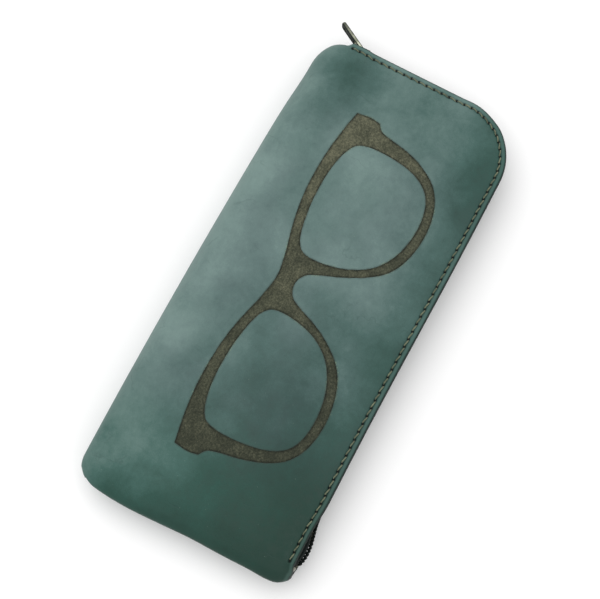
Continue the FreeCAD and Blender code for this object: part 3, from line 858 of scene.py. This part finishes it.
def leather_material():
    s = Shader("waxed_leather", roughness=0.6, Specular_IOR_Level=0.3)
    p = s.rest()
    drift = s.noise(p, 0.065, 5, 0.6, 0.3)
    mottle = s.noise(p, 0.5, 5, 0.65)
    fine = s.noise(p, 2.6, 3, 0.6)
    colour = leather_dye(s, p, leather_tone_and_painted_shade(s, p, drift, mottle, fine))
    # fine creases that run mostly across the body, darkened with painted shade
    warp = s.noise(p, 0.11, 3.0, 0.5, output="Color")
    squeezed = s.vector("MULTIPLY", "Vector", p, (1.0, 0.42, 1.0))
    crack = s.cells(s.vector("MULTIPLY_ADD", "Vector", warp, (16, 16, 0), squeezed), 0.055, "DISTANCE_TO_EDGE")
    crease = s.times(s.span(crack, 0.0, 0.016, 1.0, 0.0), s.span(s.noise(p, 0.09, 2), 0.52, 0.66))
    colour = s.mix(s.times(crease, 0.22), colour, paint(32, 56, 52))
    # pale specks, and pores darkened with painted shade
    speck = s.times(s.span(s.cells(p, 0.75), 0.04, 0.11, 1.0, 0.0), s.span(s.noise(p, 0.3, 2), 0.58, 0.68))
    colour = s.mix(s.times(speck, 0.4), colour, paint(128, 144, 132))
    pores = s.cells(p, 1.9, "SMOOTH_F1")
    colour = s.mix(s.span(pores, 0.0, 0.15, 0.22, 0.0), colour, paint(24, 46, 42))
    # a painted highlight on the margin's puffed strip, its dark cut edge, and painted shade in the stitch holes
    edge = s.fact("edge")
    strip_highlight = s.times(s.span(edge, 0.35, 0.8), s.span(edge, 1.2, 2.0, 0.16, 0.0))
    colour = s.mix(strip_highlight, colour, paint(96, 130, 122))
    colour = s.mix(s.span(edge, 0.2, 0.65, 0.93, 0.0), colour, paint(9, 26, 21))
    colour = s.mix(s.span(s.fact("painted_hole_shade"), 0.05, 0.6, 0.0, 0.97), colour, paint(7, 12, 10))
    # scorched patches with painted shade beside the engraving's rim, and pale fibres round the engraving
    engrave = s.fact("engrave")
    scorch_and_shade = s.times(s.span(engrave, 0.1, 0.7, 0.5, 0.0), s.span(mottle, 0.35, 0.62))
    colour = s.mix(scorch_and_shade, colour, paint(34, 44, 36))
    fibre = s.times(s.span(engrave, 0.1, 0.75, 1.0, 0.0), s.span(drift, 0.5, 0.62))
    fibre = s.times(fibre, s.span(fine, 0.48, 0.6, 0.0, 0.45))
    colour = s.mix(fibre, colour, paint(118, 136, 106))
    rough = s.span(s.calc("ADD", drift, mottle), 0.7, 1.3, 0.48, 0.68)
    normal = s.bump(crease, 0.3, -0.0001)
    normal = s.bump(pores, 0.25, 0.00008, normal)
    normal = s.bump(s.noise(p, 0.9, 6, 0.65), 0.4, 0.00018, normal)
    return s.finish_with(colour, rough, normal)


def engraved_material():
    s = Shader("engraved_leather", roughness=0.92, Specular_IOR_Level=0.2, Sheen_Weight=0.15)
    p = s.rest()
    value = s.times(s.noise(p, 1.5, 6, 0.72), 0.9)
    value = s.calc("MULTIPLY_ADD", s.noise(p, 0.16, 4, 0.6), 0.4, value)
    value = s.calc("ADD", value, s.along(p, (0.0011, 0.0012, 0.0)))
    stops = (0.0, (36, 40, 30)), (0.4, (56, 59, 46)), (0.75, (74, 76, 60)), (1.0, (96, 96, 77))
    colour = s.ramp(s.span(value, 0.42, 0.9), *stops)
    speck = s.times(s.span(s.cells(p, 1.7), 0.1, 0.22, 1.0, 0.0), s.span(s.noise(p, 0.8, 2), 0.5, 0.62))
    colour = s.mix(s.times(speck, 0.25), colour, paint(124, 120, 96))
    # the burnt edge inside the outline, with painted shade of the recess wall
    scorch_and_shade = s.span(s.fact("engrave"), -0.95, -0.1, 0.0, 0.85)
    scorch_and_shade = s.times(scorch_and_shade, s.span(s.noise(p, 0.45, 4, 0.6), 0.38, 0.6, 0.35, 1.0))
    colour = s.mix(scorch_and_shade, colour, paint(22, 25, 18))
    return s.finish_with(colour, None, s.bump(s.noise(p, 2.6, 5, 0.7), 0.8, 0.00025))


def fibrous_material(name, scales, dark, pale):
    """Leather's fibrous side: patches, grain and relief at the given scales."""
    s = Shader(name, roughness=0.95, Specular_IOR_Level=0.2, Sheen_Weight=0.3)
    p = s.rest()
    patches, grain, relief = scales
    value = s.calc("MULTIPLY_ADD", s.noise(p, patches, 5, 0.6), 0.5, s.times(s.noise(p, grain, 4, 0.7), 0.5))
    return s.finish_with(s.between(value, dark, pale), None, s.bump(s.noise(p, relief, 4, 0.7), 0.7, 0.0003))


def raw_edge_material():
    s = Shader("raw_edge", roughness=0.85, Specular_IOR_Level=0.25)
    p = s.rest()
    value = s.noise(s.vector("MULTIPLY", "Vector", p, (0.5, 0.5, 2.5)), 1.2, 5, 0.7)
    # undyed and brown beside the slider, dyed dark elsewhere
    brown = s.span(s.along(p, (0.0, 1.0, 0.0)), 27, 31)
    dyed, raw = s.between(value, (9, 17, 15), (24, 34, 30)), s.between(value, (62, 50, 34), (112, 96, 70))
    return s.finish_with(s.mix(brown, dyed, raw), None, s.bump(value, 0.6, 0.0002))


WEAVE = ("run", 0.55), ("across", 0.5)  # the tape's yarns: their direction and spacing


def tape_material():
    s = Shader("woven_tape", roughness=0.95, Specular_IOR_Level=0.1, Sheen_Weight=0.05)
    waves = [s.calc("SINE", s.times(s.fact(name), 2 * math.pi / pitch)) for name, pitch in WEAVE]
    weave = s.times(*waves)
    colour = s.mix(s.span(weave, -0.6, 0.8), paint(8, 14, 12), paint(24, 33, 30))
    return s.finish_with(colour, None, s.bump(weave, 0.8, 0.0001))


def coil_material():
    s = Shader("nylon_coil", roughness=0.8, Specular_IOR_Level=0.1)
    value = s.span(s.noise(s.rest(), 1.2, 4, 0.6), 0.35, 0.65)
    return s.finish_with(s.mix(value, paint(5, 10, 8), paint(15, 22, 19)))


def thread_material():
    s = Shader("waxed_thread", roughness=0.62, Specular_IOR_Level=0.35, Sheen_Weight=0.1)
    p = s.rest()
    value = s.calc("MULTIPLY_ADD", s.noise(p, 0.25, 3), 0.6, s.times(s.noise(p, 4.0, 3), 0.4))
    colour = s.between(value, (72, 79, 60), (116, 121, 96))
    return s.finish_with(colour, None, s.bump(s.noise(p, 7.0, 2), 0.4, 0.00006))


def metal_material(name, light, dark, roughness):
    s = Shader(name, roughness=roughness, Metallic=1.0)
    p = s.add("NewGeometry", {}).outputs["Position"]
    colour = s.mix(s.span(s.noise(p, 380.0, 4, 0.6), 0.35, 0.7), paint(*light), paint(*dark))
    rough = s.span(s.noise(p, 900.0, 3), 0.3, 0.7, roughness - 0.06, roughness + 0.12)
    return s.finish_with(colour, rough, s.bump(s.noise(p, 2500.0, 2), 0.08, 0.00003))


def tab_metal_with_painted_shade():
    """Nickel, bright on its narrow rim, with painted shade on its broad faces and towards its tip."""
    s = Shader("nickel_with_painted_shade", Specular_IOR_Level=0.2)
    p = s.rest()
    smudge = s.span(s.noise(p, 0.7, 4, 0.6), 0.35, 0.7)
    painted_tab_shade = s.fact("painted_tab_shade")
    colour = s.mix(smudge, paint(176, 178, 158), paint(116, 120, 104))
    # painted shade, where the tab is also less metallic and rougher
    colour = s.mix(painted_tab_shade, colour, paint(26, 34, 29))
    s.feed(s.bsdf.inputs["Metallic"], s.calc("MULTIPLY_ADD", painted_tab_shade, -0.9, 1.0))
    rough = s.calc("MULTIPLY_ADD", painted_tab_shade, 0.35, s.span(s.noise(p, 1.6, 3), 0.3, 0.7, 0.3, 0.46))
    return s.finish_with(colour, rough, s.bump(s.noise(p, 4.0, 2), 0.1, 0.00003))


FLESH_MATERIAL = fibrous_material("flesh_side", (0.12, 2.2, 3.0), (70, 74, 64), (112, 112, 96))
LEATHER_MATERIALS = [leather_material(), engraved_material(), FLESH_MATERIAL, raw_edge_material()]
DIVIDER_MATERIAL = fibrous_material("split_leather", (0.1, 2.0, 2.6), (118, 98, 72), (156, 134, 102))
TAPE_MATERIAL = tape_material()
COIL_MATERIAL = coil_material()
THREAD_MATERIAL = thread_material()
METAL = metal_material("antique_nickel", (136, 136, 124), (84, 86, 78), 0.34)
TAB_METAL = tab_metal_with_painted_shade()
SPRING = metal_material("spring_steel", (190, 190, 192), (160, 160, 164), 0.25)

# ---- the mouth's hinge, and how the sewn pieces are placed ----
JOINTS = {joint["name"]: joint for joint in frame["joints"]}
HINGE = np.array(JOINTS["mouth_open"]["pos_m"])
HINGE_X, HINGE_Y, _ = JOINTS["mouth_open"]["axis"]
HINGE_AWAY = np.array([-HINGE_Y, HINGE_X, 0.0])
# two points across the hinge, in metres
BEND = [tuple(HINGE + HINGE_AWAY * away) for away in (-0.002, 0.016)]


def bend_with_mouth(piece):
    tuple(BEND[0])
    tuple(BEND[1])
    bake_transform(piece)


def sew_on(piece, side, node):
    """Place a sewn piece: on the front its transform is baked in, on the back it stays with the pouch; its CAD
    nodes are hidden.
    """
    if side > 0:
        bend_with_mouth(piece)
        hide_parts(node + "_front", node + "_front_ends")
    else:
        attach(piece, "pouch")
        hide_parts(node + "_back")


# ---- leather pieces ----
INNER_STEP = 3.0          # spacing of points over the lining side


def make_leather():
    for side, name, step, node in (
        (1, "leather_front", 1.0, "front_flap"), (-1, "leather_back", 1.6, "leather_shell"),
    ):
        verts, faces, kinds, facts = leather_sheet(side, step, INNER_STEP)
        piece = make_piece(name, verts, faces, LEATHER_MATERIALS, kinds, facts)
        if side > 0:
            bend_with_mouth(piece)
        else:
            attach(piece, "pouch")
        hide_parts(node)


# ---- zipper ----
def zip_line(inset, step=None):
    """Places, outward normals and distances run along the zipper."""
    place, inward, run = ZIPPED["place"], ZIPPED["inward"], ZIPPED["run"]
    if step:
        at = np.arange(0, run[-1], step)
        place, inward, run = sampled(at, run, place), sampled(at, run, inward), at
    x, y = place.T
    # the teeth run straight where the slider travels
    place = place - np.column_stack([end_shift(x, y), np.zeros(len(x))])
    span = np.clip((BULGE_FROM_X - x) / (BULGE_FROM_X - BULGE_END_X), 0, 1)
    bow = BULGE * np.sin(math.pi * span**BULGE_SKEW) ** 2 * (y < 0)
    return place + inward * (inset - bow)[:, None], -inward, run


# The tape's cross-section, from its fold beside the coil to its sewn edge, on its outer and on its inner face:
# distances out from the coil's middle and heights from the centre plane
TAPE_OUTER = (
    (-0.7, 0.3), (-0.7, 1.2), (-0.7, 2.2), (-0.75, 2.8), (-1.0, 3.2), (-1.6, 3.38), (-2.6, 3.42), (-4.0, 3.42),
    (-5.5, 3.42), (-7.0, 3.42),
)
TAPE_INNER = (
    (-1.1, 0.3), (-1.1, 1.2), (-1.1, 2.2), (-1.13, 2.6), (-1.3, 2.85), (-1.8, 3.02), (-2.7, 3.06), (-4.0, 3.06),
    (-5.5, 3.06), (-7.0, 3.06),
)
TAPE_STEP = 0.8


def make_tapes():
    place, out, run = zip_line(COIL_INSET, TAPE_STEP)
    ring = TAPE_OUTER + TAPE_INNER[::-1]
    across = np.cumsum([0] + [math.dist(a, b) for a, b in zip(ring, ring[1:])])
    n = len(ring)
    index = np.arange(len(run) * n).reshape(len(run), n)
    for side, name in SIDES:
        grid = np.zeros((len(run), n, 3))
        for k, (offset, z) in enumerate(ring):
            grid[:, k, :2] = place + out * offset
            grid[:, k, 2] = MID_Z + side * z
        faces = grid_faces(wrapped(index), flip=side > 0)
        faces += [index[0][::-side], index[-1][::side]]
        facts = {"run": np.repeat(run, n), "across": np.tile(across, len(run))}
        piece = make_piece(
            "zip_tape_" + name + "_woven", grid.reshape(-1, 3), faces, [TAPE_MATERIAL], None, facts,
        )
        sew_on(piece, side, "zip_tape")


COIL_PITCH = 1.3
COIL_WIRE = 0.31          # radius
COIL_HALF_WIDTH = 0.65
COIL_LOW, COIL_HIGH = 0.12, 2.1       # heights over the centre plane
COIL_FROM, COIL_UNTIL = 3.2, 4.0      # lengths of bare tape at the ends
COIL_POINTS = 12                      # per turn


def make_coils():
    place, out, run = zip_line(COIL_INSET)
    turns = int((run[-1] - COIL_UNTIL - COIL_FROM) / COIL_PITCH)
    t = np.linspace(0, turns, turns * COIL_POINTS + 1)
    at = COIL_FROM + t * COIL_PITCH
    for side, name in SIDES:
        # the two rows mesh, so one is half a turn ahead
        phase = 2 * math.pi * (t + (0.5 if side < 0 else 0))
        reach = (COIL_HALF_WIDTH - COIL_WIRE) * np.cos(phase)
        rise = (COIL_LOW + COIL_HIGH) / 2 + ((COIL_HIGH - COIL_LOW) / 2 - COIL_WIRE) * np.sin(phase)
        flat = sampled(at, run, place) + sampled(at, run, out) * reach[:, None]
        verts, faces = tube(np.column_stack([flat, MID_Z + side * rise]), COIL_WIRE)
        piece = make_piece("zip_coil_" + name + "_turns", verts, faces, [COIL_MATERIAL], sharp=None)
        sew_on(piece, side, "zip_coil")


# ---- threads ----
THREAD = 0.165            # radius of one of the thread's two strands
PLY = 0.125               # of each strand's centre from the thread's
TWIST = 1.15              # length of one turn of the strands
STITCH_SUNK = 0.55        # how far a stitch's ends lie below the leather's face
STITCH_RISE = 0.72        # height of its middle over them
STITCH_SLANT = 0.24       # how far its ends lie from the stitch line, on opposite sides
STITCH_SPREAD = 0.05      # of rise and slant, from stitch to stitch
BOBBIN = 0.24             # radius of the hidden thread
BOBBIN_Z = 2.78           # its height from the centre plane, under the tape


def sewn_places(run, depth):
    """Plan places at distances run along the cut edge and depths inward from it."""
    place, inward = (sampled(run, ZIPPED["run"], ZIPPED[key]) for key in ("place", "inward"))
    return place + inward * np.reshape(depth, (-1, 1))


def two_ply(path, side, twist):
    """The thread's two strands, twisted round a path."""
    tangent = unit(np.gradient(path, axis=0))
    across = unit(np.cross(tangent, [0.0, 0.0, side]))
    lifted = np.cross(across, tangent)
    for ply in (0, math.pi):
        offset = np.cos(twist + ply)[:, None] * across + np.sin(twist + ply)[:, None] * lifted
        yield tube(path + PLY * offset, THREAD)


def needle_stitches(side, rng):
    """Each stitch comes up out of one hole, over and down into the next."""
    parts = []
    line_shift = lip_depth(STITCH_IN, side)[:, 0] - STITCH_IN
    t = np.linspace(0, 1, 15)
    for start, end in zip(HOLES[:-1], HOLES[1:]):
        slant = STITCH_SLANT + STITCH_SPREAD * rng.standard_normal()
        rise = STITCH_RISE + STITCH_SPREAD * rng.standard_normal()
        run = start + (end - start) * (0.13 + 0.74 * t)
        depth = STITCH_IN + slant * (2 * t - 1) + np.interp(run, ZIPPED["run"], line_shift)
        flat = sewn_places(run, depth)
        z = height(*flat.T, side) - STITCH_SUNK + rise * np.sin(math.pi * t) ** 0.4
        twist = 2 * math.pi * (run - start) / TWIST + rng.uniform(0, 6)
        parts += two_ply(np.column_stack([flat, MID_Z + side * z]), side, twist)
    return parts


def bobbin_stitches(side):
    parts = []
    for start, end in zip(HOLES[:-1], HOLES[1:]):
        run = np.linspace(start + 0.35, end - 0.35, 7)
        z = BOBBIN_Z + 0.12 * np.cos(2 * math.pi * (run - start) / STITCH_PITCH)
        parts.append(tube(np.column_stack([sewn_places(run, STITCH_IN), MID_Z + side * z]), BOBBIN))
    return parts


def make_stitches():
    rng = np.random.default_rng(7)
    for side, name in SIDES:
        for kind, node, parts in (
            ("stitches_", "needle_thread", needle_stitches(side, rng)),
            ("bobbin_stitches_", "bobbin_thread", bobbin_stitches(side)),
        ):
            piece = make_piece(kind + name, *join(parts), [THREAD_MATERIAL], sharp=None)
            sew_on(piece, side, node)


SEAM_STITCH = 2.3         # length of one hidden stitch
SEAM_THREAD = 0.26        # radius


def make_seam_stitches():
    low, high = node_box("seam_thread")
    seam = SOFT["place"][:SEAM_COLUMNS] + SOFT["inward"][:SEAM_COLUMNS] * SEAM_STITCH_IN
    t = np.linspace(0, 1, 6)
    parts = []
    for start in np.arange(low[1], high[1] - 2.0, STITCH_PITCH):
        y = start + SEAM_STITCH * t
        x = np.interp(y, seam[:, 1], seam[:, 0]) + 0.12 * np.sin(math.pi * t)
        for z in (low[2] + 0.3, high[2] - 0.3):
            parts.append(tube(np.column_stack([x, y, np.full(6, z)]), SEAM_THREAD))
    piece = make_piece("seam_stitches", *join(parts), [THREAD_MATERIAL], sharp=None)
    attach(piece, "pouch")
    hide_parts("seam_thread")


# ---- the leaf between the pockets ----
DIVIDER_IN = 9.2          # of its free edge from the zipped sides
DIVIDER_IN_FOLD = 4.4
DIVIDER_IN_SEAM = 1.8
DIVIDER_STEP = 2.4


def make_divider():
    seamed = np.clip((SEAM_COLUMNS + 3 - np.arange(len(SOFT["place"]))) / 6, 0, 1)
    inset = DIVIDER_IN_FOLD * (1 - seamed) + DIVIDER_IN_SEAM * seamed
    inset = inset + (DIVIDER_IN - inset) * (1 - smooth(from_ends(SOFT["run"]) / 9.0))
    loop = np.vstack([
        (ZIPPED["place"] + ZIPPED["inward"] * DIVIDER_IN)[::6],
        (SOFT["place"] + SOFT["inward"] * inset[:, None])[1:-1],
    ])
    loop = even_points(loop, DIVIDER_STEP / 2)
    extra, faces = filled(loop, DIVIDER_STEP, False)
    flat = np.vstack([loop, extra])
    x, y = flat.T
    wave = 0.5 * np.sin(x / 17) * np.cos(y / 13) * smooth((x + HALF_LENGTH - 4) / 30)
    wave = wave + 0.35 * np.sin(x / 7.3 + 1) * smooth((16 - zip_depth(x, y)) / 8) * smooth((x + 84) / 20)
    half = (DIVIDER_HIGH[2] - DIVIDER_LOW[2]) / 2
    n, ring = len(flat), len(loop)
    verts = np.vstack([np.column_stack([flat, MID_Z + wave + z]) for z in (half, -half)])
    faces += [[i + n for i in f[::-1]] for f in faces]
    faces += [[i, (i + 1) % ring, (i + 1) % ring + n, i + n] for i in range(ring)]
    piece = make_piece("divider_soft", verts, faces, [DIVIDER_MATERIAL])
    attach(piece, "pouch")
    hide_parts("divider_leaf")


# ---- metal parts shown as they are in the frame ----
def dress_metal():
    cast = ("slider_body", "slider_crown", "top_stop_front", "top_stop_back", "bottom_stop")
    for node, material in (dict.fromkeys(cast, METAL) | {"slider_lock_spring": SPRING}).items():
        materials = frame["nodes"][node].data.materials
        materials.clear()
        materials.append(material)


# ---- the pull tab, with softened edges, a bright rim, and painted shade on its broad faces and tip ----
TAB_LONG = 12.3
TAB_WIDE = 4.6
TAB_THICK = 1.35
TAB_BEVEL = 0.4


def rounded_rectangle(x0, x1, y0, y1, radius, steps=6):
    points = []
    corners = ((x1, y1, 0), (x0, y1, 90), (x0, y0, 180), (x1, y0, 270))
    for x, y, start in corners:
        cx, cy = x - math.copysign(radius, x - (x0 + x1) / 2), y - math.copysign(radius, y - (y0 + y1) / 2)
        for i in range(steps + 1):
            a = math.radians(start + 90 * i / steps)
            points.append((cx + radius * math.cos(a), cy + radius * math.sin(a)))
    return points


def bevelled_plate(loops, thick, bevel):
    """A flat plate with holes and rounded-over edges: the first loop is its outline, the others are holes."""
    curve = bpy.data.curves.new("plate", "CURVE")
    curve.dimensions = "2D"
    curve.fill_mode = "BOTH"
    curve.extrude = thick / 2 - bevel
    curve.bevel_depth = bevel
    curve.bevel_resolution = 2
    curve.offset = -bevel
    for loop in loops:
        spline = curve.splines.new("POLY")
        spline.points.add(len(loop) - 1)
        spline.points.foreach_set("co", [c for x, y in loop for c in (x, y, 0.0, 1.0)])
        spline.use_cyclic_u = True
    holder = new_object("plate", curve)
    mesh = bpy.data.meshes.new_from_object(holder.evaluated_get(bpy.context.evaluated_depsgraph_get()))
    verts = np.array([v.co for v in mesh.vertices])
    faces = [list(f.vertices) for f in mesh.polygons]
    bpy.data.objects.remove(holder)
    bpy.data.curves.remove(curve)
    bpy.data.meshes.remove(mesh)
    return verts, faces


def welded(verts, faces):
    keys = {}
    index = [keys.setdefault(tuple(np.round(v, 4)), len(keys)) for v in verts]
    faces = [[index[i] for i in f] for f in faces]
    return np.array(list(keys)), [f for f in faces if len(set(f)) == len(f)]


def make_pull_tab():
    pivot = np.array(JOINTS["pull_swing"]["pos_m"]) / MM
    tip = node_box("pull_tab")[1] - pivot
    lean = math.atan2(tip[1], tip[0]) - 0.05
    turns = [2 * math.pi * i / 20 for i in range(20)]
    outline = rounded_rectangle(-1.0, TAB_LONG, -TAB_WIDE / 2, TAB_WIDE / 2, 1.3)
    window = rounded_rectangle(0.75, 4.0, -1.2, 1.2, 0.5)
    eye = [(TAB_LONG - 2.6 + 0.85 * math.cos(t), 0.85 * math.sin(t)) for t in turns]
    for i, (x, y) in enumerate(outline):
        waist = 1 - 0.14 * math.exp(-(((x - 5.6) / 2.4) ** 2))
        outline[i] = (x, y * waist)
    parts = [bevelled_plate([outline, window, eye], TAB_THICK, TAB_BEVEL)]
    bar = np.array([(0.0, y, 0.0) for y in np.linspace(-TAB_WIDE / 2 + 0.3, TAB_WIDE / 2 - 0.3, 5)])
    parts.append(tube(bar, 0.3, 10))
    verts, faces = welded(*join(parts))
    # the plate lies along x with its width along y: stand it up and lean it out
    along = np.array([math.cos(lean), math.sin(lean), 0.0])
    across = np.array([0.0, 0.0, 1.0])
    through = np.cross(along, across)
    # painted shade on the broad faces, growing towards the tip
    painted_tab_shade = np.abs(verts[:, 2]) > TAB_THICK / 2 - 0.8 * TAB_BEVEL
    placed = pivot + verts[:, :1] * along + verts[:, 1:2] * across + verts[:, 2:] * through
    painted_tab_shade = np.maximum(painted_tab_shade, 0.7 * smooth((verts[:, 0] - 5) / 5))
    piece = make_piece("pull_tab_cast", placed, faces, [TAB_METAL], None, {"painted_tab_shade": painted_tab_shade}, sharp=50)
    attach(piece, "pull")
    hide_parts("pull_tab")


# ---- surroundings ----
def make_stage():
    mesh = bpy.data.meshes.new("floor")
    mesh.from_pydata([(-3, -3, 0), (3, -3, 0), (3, 3, 0), (-3, 3, 0)], [], [(0, 1, 2, 3)])
    floor = new_object("floor", mesh)
    mesh.materials.append(Shader("paper", (0.86, 0.86, 0.86, 1), 0.9, Specular_IOR_Level=0.1).material)


def aim(obj, place, target):
    obj.location = place
    obj.rotation_euler = (Vector(target) - Vector(place)).to_track_quat("-Z", "Y").to_euler()


def make_lights():
    bpy.context.scene.view_settings.view_transform = "Standard"
    world = bpy.data.worlds.new("studio")
    bpy.context.scene.world = world
    world.use_nodes = True
    world.node_tree.nodes["Background"].inputs["Color"].default_value = (1, 1, 1, 1)
    world.node_tree.nodes["Background"].inputs["Strength"].default_value = 0.82
    for name, place, size, power in (
        ("key", (0.15, 0.45, 1.1), 1.6, 9.8), ("fill", (-0.5, -0.7, 0.9), 1.5, 3.5),
    ):
        light = bpy.data.lights.new(name, "AREA")
        light.size = size
        light.energy = power
        aim(new_object(name, light), place, (0, 0, 0.01))


CAMERA_AZIMUTH = -61.92
CAMERA_ELEVATION = 73.92
CAMERA_DISTANCE = 532.4
CAMERA_SHIFT = (-2.015, -0.01)
CAMERA_LEVEL = 10.0


def make_camera():
    a, e = math.radians(CAMERA_AZIMUTH), math.radians(CAMERA_ELEVATION)
    back = np.array([math.sin(a) * math.cos(e), -math.cos(a) * math.cos(e), math.sin(e)])
    right = np.array([math.cos(a), math.sin(a), 0.0])
    up = np.cross(back, right)
    target = right * CAMERA_SHIFT[0] + up * CAMERA_SHIFT[1] + [0, 0, CAMERA_LEVEL]
    data = bpy.data.cameras.new("camera")
    data.lens = 90
    data.sensor_width = 36
    camera = new_object("camera", data)
    aim(camera, tuple((target + back * CAMERA_DISTANCE) * MM), tuple(target * MM))
    bpy.context.scene.camera = camera


make_leather()
make_tapes()
make_coils()
make_stitches()
make_seam_stitches()
make_divider()
make_pull_tab()
dress_metal()
make_stage()
make_lights()
make_camera()
